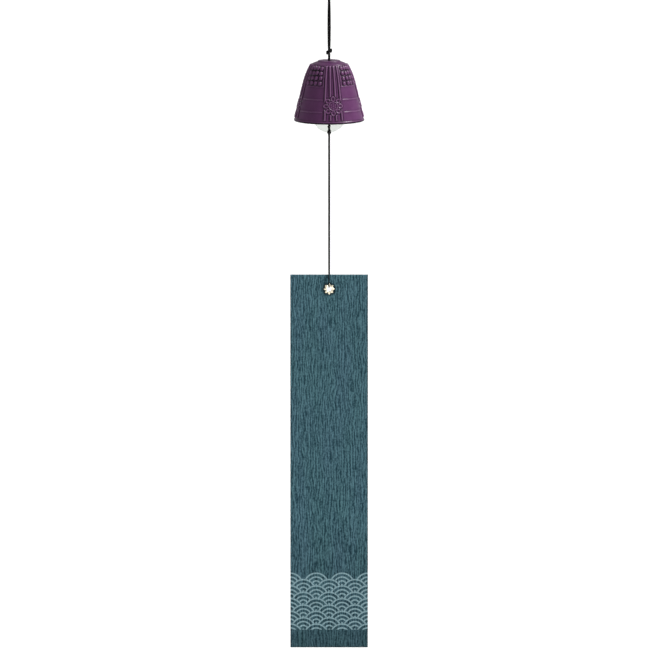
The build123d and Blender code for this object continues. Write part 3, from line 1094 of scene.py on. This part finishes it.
# %% [markdown]
# ## Crepe paper
# The paper is darker between the folds and paler on them, so the height of the crinkle sets part of the
# tone.
# A finer noise, stretched along the strip, adds the fibres, a shorter one the grain of the crepe, and a
# slow one lets the tint drift a little between green and blue. The paper is darker along its cut edges
# and towards its foot, and a painted shadow lies in a soft ring round the eyelet.

# %% Prepare sums on node sockets
crepe, shader, nodes, links = new_finish("teal_crepe")


def paper_sum(operation, *values):
    """One sum in the paper's nodes, on sockets or numbers. Gives the socket of its result."""
    node = nodes.new("ShaderNodeMath")
    node.operation = operation
    for socket, value in zip(node.inputs, values):
        if isinstance(value, (int, float)):
            socket.default_value = value
        else:
            links.new(value, socket)
    return node.outputs["Value"]


def paper_distance(sideways, upwards):
    """Distance over the paper, from its two parts."""
    squares = paper_sum("MULTIPLY_ADD", sideways, sideways, paper_sum("MULTIPLY", upwards, upwards))
    return paper_sum("SQRT", squares)


def paper_noise(scale, stretch, detail):
    """Noise in the paper, that many times longer down the strip than across it."""
    mapping = nodes.new("ShaderNodeMapping")
    mapping.inputs["Scale"].default_value = (1, 1, 1 / stretch)
    noise = nodes.new("ShaderNodeTexNoise")
    noise.inputs["Scale"].default_value = scale
    noise.inputs["Detail"].default_value = detail
    links.new(place.outputs["Object"], mapping.inputs["Vector"])
    links.new(mapping.outputs["Vector"], noise.inputs["Vector"])
    return noise.outputs["Fac"]


place = nodes.new("ShaderNodeTexCoord")
sides = nodes.new("ShaderNodeSeparateXYZ")
links.new(place.outputs["Object"], sides.inputs["Vector"])
print("paper's nodes so far", len(nodes))

# %% Dye the paper
fold = nodes.new("ShaderNodeAttribute")
fold.attribute_name = "fold"
fibre = paper_noise(1000, 5, 4)
grain = paper_noise(950, 1.4, 3)
drift = paper_noise(60, 4, 2)
fold_and_fibre = paper_sum("MULTIPLY_ADD", fibre, 0.38, paper_sum("MULTIPLY", fold.outputs["Fac"], 0.2))
tone = paper_sum("MULTIPLY_ADD", grain, 0.42, fold_and_fibre)
dye = nodes.new("ShaderNodeValToRGB")
dye.color_ramp.elements[0].position = 0.39
dye.color_ramp.elements[0].color = (0.013, 0.051, 0.070, 1)
dye.color_ramp.elements[1].position = 0.61
dye.color_ramp.elements[1].color = (0.112, 0.235, 0.283, 1)
links.new(tone, dye.inputs["Fac"])
tint = nodes.new("ShaderNodeValToRGB")
tint.color_ramp.elements[0].position = 0.35
tint.color_ramp.elements[0].color = (0.96, 1.0, 0.96, 1)
tint.color_ramp.elements[1].position = 0.65
tint.color_ramp.elements[1].color = (1.0, 0.97, 1.0, 1)
links.new(drift, tint.inputs["Fac"])
tinted = nodes.new("ShaderNodeMix")
tinted.data_type = "RGBA"
tinted.blend_type = "MULTIPLY"
tinted.inputs["Factor"].default_value = 1
links.new(dye.outputs["Color"], tinted.inputs["A"])
links.new(tint.outputs["Color"], tinted.inputs["B"])
print("dyed paper", len(nodes), "nodes")

# %% Darken the edges and the foot, and paint the eyelet's shadow
edge_dark_width = 0.9 * mm
foot_share = 0.35
eyelet_shadow_span = (4.6 * mm, 5.8 * mm)
from_side = paper_sum("SUBTRACT", strip_width / 2, paper_sum("ABSOLUTE", sides.outputs["X"]))
edge_darkening = nodes.new("ShaderNodeMapRange")
edge_darkening.inputs["From Min"].default_value = 0
edge_darkening.inputs["From Max"].default_value = edge_dark_width
edge_darkening.inputs["To Min"].default_value = 0.45
edge_darkening.inputs["To Max"].default_value = 1
links.new(from_side, edge_darkening.inputs["Value"])
foot_darkening = nodes.new("ShaderNodeMapRange")
foot_darkening.inputs["From Min"].default_value = strip_low.z
foot_darkening.inputs["From Max"].default_value = strip_low.z + foot_share * strip_length
foot_darkening.inputs["To Min"].default_value = 0.62
foot_darkening.inputs["To Max"].default_value = 1
links.new(sides.outputs["Z"], foot_darkening.inputs["Value"])
darkened_paper = nodes.new("ShaderNodeVectorMath")
darkened_paper.operation = "SCALE"
links.new(tinted.outputs["Result"], darkened_paper.inputs["Vector"])
# Painted shadow round the eyelet: the paper is darkened in a soft ring round it.
below_eyelet = paper_sum("SUBTRACT", sides.outputs["Z"], eyelet_centre.z)
eyelet_shadow = nodes.new("ShaderNodeMapRange")
eyelet_shadow.inputs["From Min"].default_value = eyelet_shadow_span[0]
eyelet_shadow.inputs["From Max"].default_value = eyelet_shadow_span[1]
eyelet_shadow.inputs["To Min"].default_value = 0.3
eyelet_shadow.inputs["To Max"].default_value = 1
links.new(paper_distance(sides.outputs["X"], below_eyelet), eyelet_shadow.inputs["Value"])
darkening = paper_sum("MULTIPLY", edge_darkening.outputs["Result"], foot_darkening.outputs["Result"])
links.new(paper_sum("MULTIPLY", darkening, eyelet_shadow.outputs["Result"]), darkened_paper.inputs["Scale"])
print("soaked paper", len(nodes), "nodes")

# %% [markdown]
# ## Wave print
# Low on the strip's front is a print in pale ink: rows of overlapping waves, an old pattern on such strips.
# Each wave is a ring of a row, and each row hides half of the row behind it. Three sums find the foremost
# wave that a point of the paper lies in, and the distance from that wave's centre gives its lines.

# %% Print the waves
wave_radius = 10 * mm
print_margin = 14 * mm
print_foot = strip_low.z + print_margin
top_row = 7
ring_start_share = 0.03
ring_gap_share = 0.15
ring_line_share = 0.055
wave_x = paper_sum("DIVIDE", sides.outputs["X"], wave_radius)
wave_z = paper_sum("DIVIDE", paper_sum("SUBTRACT", sides.outputs["Z"], print_foot), wave_radius)
first_row = paper_sum("CEIL", paper_sum("MULTIPLY_ADD", wave_z, 2, -2))
row, reach = None, None
for behind in (2, 1, 0):
    this_row = paper_sum("ADD", first_row, behind)
    sideways = paper_sum("PINGPONG", paper_sum("ADD", wave_x, this_row), 1)
    above = paper_sum("MULTIPLY_ADD", this_row, -0.5, wave_z)
    this_reach = paper_distance(sideways, above)
    if reach is None:
        row, reach = this_row, this_reach
        continue
    inside = paper_sum("LESS_THAN", this_reach, 1)
    row = paper_sum("MULTIPLY_ADD", inside, paper_sum("SUBTRACT", this_row, row), row)
    reach = paper_sum("MULTIPLY_ADD", inside, paper_sum("SUBTRACT", this_reach, reach), reach)
from_ring = paper_sum("PINGPONG", paper_sum("SUBTRACT", reach, ring_start_share), ring_gap_share)
ring = paper_sum("LESS_THAN", from_ring, ring_line_share)
below_top = paper_sum("LESS_THAN", row, top_row + 0.5)
above_foot = paper_sum("GREATER_THAN", wave_z, 0)
printed = paper_sum("MULTIPLY", below_top, above_foot)
facing = nodes.new("ShaderNodeSeparateXYZ")
links.new(place.outputs["Normal"], facing.inputs["Vector"])
on_front = paper_sum("MULTIPLY", printed, paper_sum("LESS_THAN", facing.outputs["Y"], 0))
worn = paper_sum("MULTIPLY_ADD", fibre, 0.9, 0.4)
ink = paper_sum("MINIMUM", paper_sum("MULTIPLY", paper_sum("MULTIPLY", ring, on_front), worn), 0.95)
inked = nodes.new("ShaderNodeMix")
inked.data_type = "RGBA"
inked.inputs["B"].default_value = (0.33, 0.50, 0.55, 1)
links.new(ink, inked.inputs["Factor"])
links.new(darkened_paper.outputs["Vector"], inked.inputs["A"])
print("wave print", len(nodes), "nodes")

# %% Join the paper's nodes
bump = nodes.new("ShaderNodeBump")
bump.inputs["Strength"].default_value = 0.5
bump.inputs["Distance"].default_value = 0.1 * mm
links.new(inked.outputs["Result"], shader.inputs["Base Color"])
links.new(paper_sum("ADD", fibre, grain), bump.inputs["Height"])
links.new(bump.outputs["Normal"], shader.inputs["Normal"])
shader.inputs["Roughness"].default_value = 0.85
shader.inputs["Specular IOR Level"].default_value = 0.15
shader.inputs["Sheen Weight"].default_value = 0.05
strip.data.materials.clear()
put(strip, crepe)
print("paper nodes", len(nodes), "fold kept", "fold" in strip.data.attributes)

# %% [markdown]
# ## Eyelet
# A brass tube goes through the paper. Its back is turned over as a round flange, and its front is split
# into eight tongues that are curled down on the paper as a star. One row of points, led from the flange
# through the bore and out to the tongues, makes the whole of it. The brass is bright, with a fine wear
# that makes its colour and its polish a little uneven.

# %% Press the eyelet
eyelet_turns = 192
tongue_count = 8
tongue_root = 2.0
tongue_base = 0.7
tongue_length = 1.6
tongue_round = 0.7
tongue_droop = 0.12
tongue_wobble = 0.06
around = np.arange(eyelet_turns) * 2 * math.pi / eyelet_turns
from_tip = np.abs((tongue_count * around / (2 * math.pi) + 0.5) % 1 - 0.5) * 2
tongue = (1 - from_tip) ** tongue_round * (1 + tongue_wobble * np.sin(3 * around))
tongue_reach = tongue_base + tongue_length * tongue


def level_ring(radius, depth):
    """A ring of points of the eyelet, at one radius and one depth."""
    return np.full(eyelet_turns, radius), np.full(eyelet_turns, depth)


flange_profile = ((3.3, 0.27), (3.3, 0.48), (3.0, 0.58), (2.4, 0.55), (2.0, 0.35))
bore_profile = ((1.9, 0.1), (1.9, -0.3))
tongue_profile = ((0.05, -0.62), (0.18, -0.74), (0.38, -0.72), (0.6, -0.6), (0.85, -0.46), (1.0, -0.36))
tongue_foot = -0.16
outside_profile = ((2.15, tongue_foot), (2.15, 0.27))
eyelet_rows = [level_ring(*point) for point in flange_profile + bore_profile]
for share, depth in tongue_profile:
    eyelet_rows.append((tongue_root + tongue_reach * share, depth + tongue_droop * (1 - tongue) * share))
eyelet_rows.append((tongue_root + tongue_reach, np.full(eyelet_turns, tongue_foot)))
eyelet_rows += [level_ring(*point) for point in outside_profile]
eyelet_points = [np.column_stack((r * np.cos(around), d, r * np.sin(around))) for r, d in eyelet_rows]
eyelet_mesh = spun_mesh("brass_eyelet", eyelet_points)
eyelet_mesh.transform(Matrix.Translation(eyelet_centre) @ Matrix.Scale(mm, 4))
eyelet = link("brass_eyelet", eyelet_mesh)
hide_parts("eyelet")
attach(eyelet, "strip")
print("eyelet", len(eyelet_mesh.vertices), "vertices")

# %% Finish the brass
brass, shader, nodes, links = new_finish("bright_brass")
place = nodes.new("ShaderNodeTexCoord")
wear = nodes.new("ShaderNodeTexNoise")
wear.inputs["Scale"].default_value = 1500
wear.inputs["Detail"].default_value = 5
brass_colour = nodes.new("ShaderNodeValToRGB")
brass_colour.color_ramp.elements[0].color = (0.90, 0.80, 0.55, 1)
brass_colour.color_ramp.elements[1].color = (0.98, 0.94, 0.79, 1)
polish = nodes.new("ShaderNodeMapRange")
polish.inputs["To Min"].default_value = 0.28
polish.inputs["To Max"].default_value = 0.48
links.new(place.outputs["Object"], wear.inputs["Vector"])
links.new(wear.outputs["Fac"], brass_colour.inputs["Fac"])
links.new(brass_colour.outputs["Color"], shader.inputs["Base Color"])
links.new(wear.outputs["Fac"], polish.inputs["Value"])
links.new(polish.outputs["Result"], shader.inputs["Roughness"])
shader.inputs["Metallic"].default_value = 1
put(eyelet, brass)
print("brass nodes", len(nodes))
